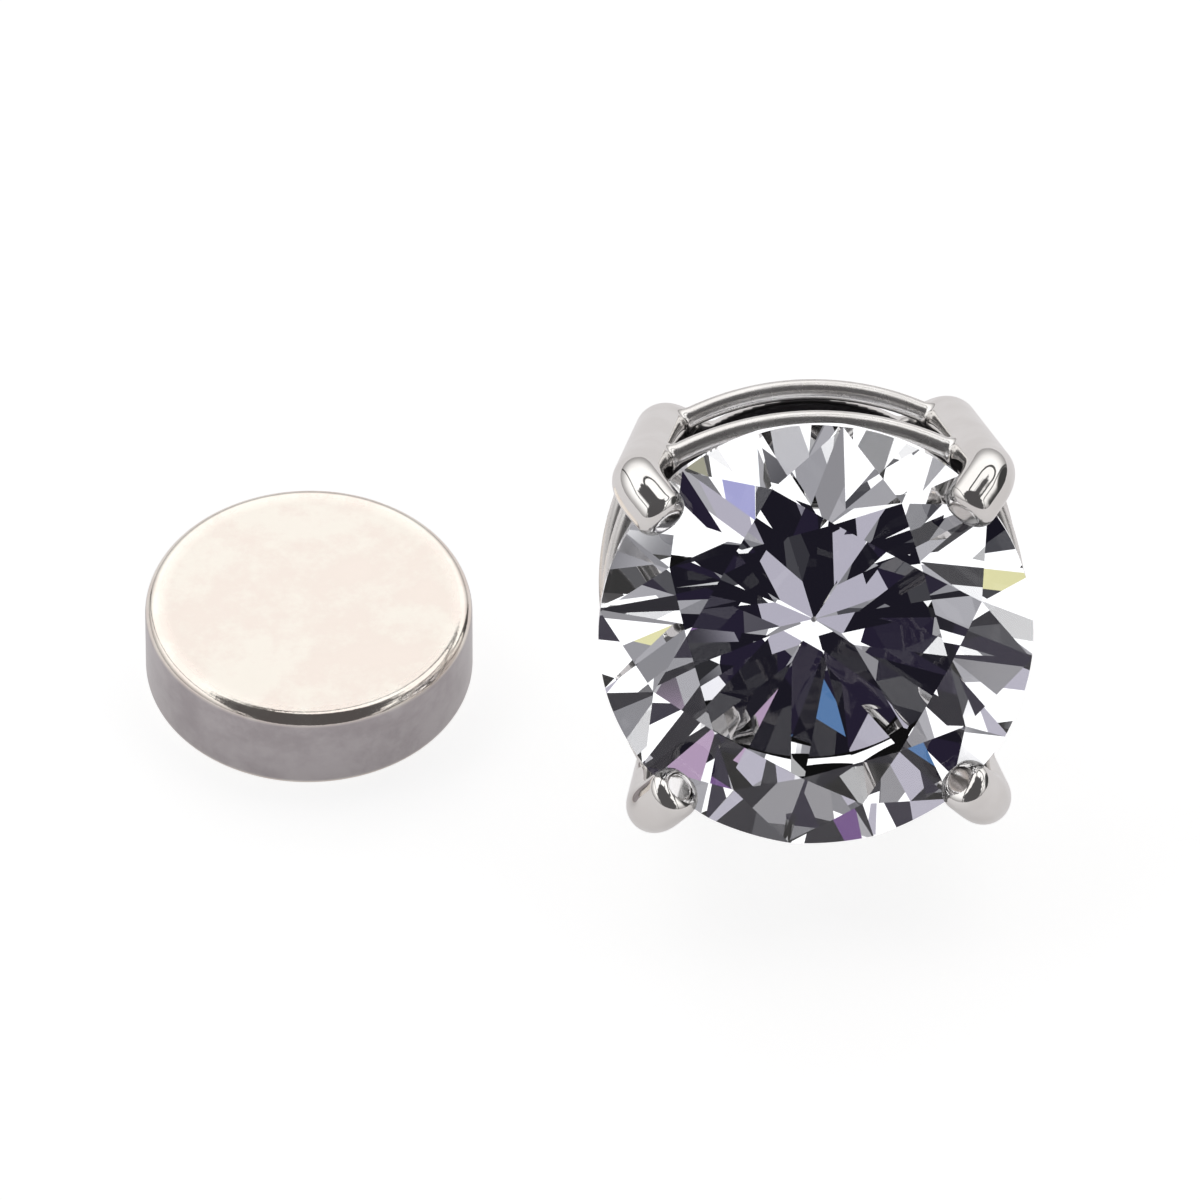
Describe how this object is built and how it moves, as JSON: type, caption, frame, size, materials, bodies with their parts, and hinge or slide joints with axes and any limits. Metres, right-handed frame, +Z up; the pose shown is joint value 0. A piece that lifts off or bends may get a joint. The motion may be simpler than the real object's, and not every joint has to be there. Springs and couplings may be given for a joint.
{
  "type": "magnetic earring",
  "caption": "Magnetic stud earring: a round faceted stone in a claw basket with a magnet cup behind it, lying tipped back, and the loose disc magnet that goes behind the lobe.",
  "frame": {"origin": "on the floor, under the middle of the two pieces' common bounding box", "axes": "+Z up, +X from the back magnet to the front piece, +Y away from the viewer; the stone's table faces -Y and up"},
  "size_m": [0.0164, 0.0096, 0.0086],
  "materials": {
    "plated_metal": "polished, rhodium-plated brass",
    "stone": "polished facets",
    "magnet_plate": "satin nickel plate"
  },
  "bodies": {
    "front": {"setting": "plated_metal", "stone": "stone", "front_magnet": "magnet_plate"},
    "back": {"back_magnet": "magnet_plate"}
  },
  "joints": [
    {"name": "back_lift", "type": "slide", "parent": "front", "child": "back", "axis": [0, 0, 1], "range_m": [0, 0.012]}
  ]
}
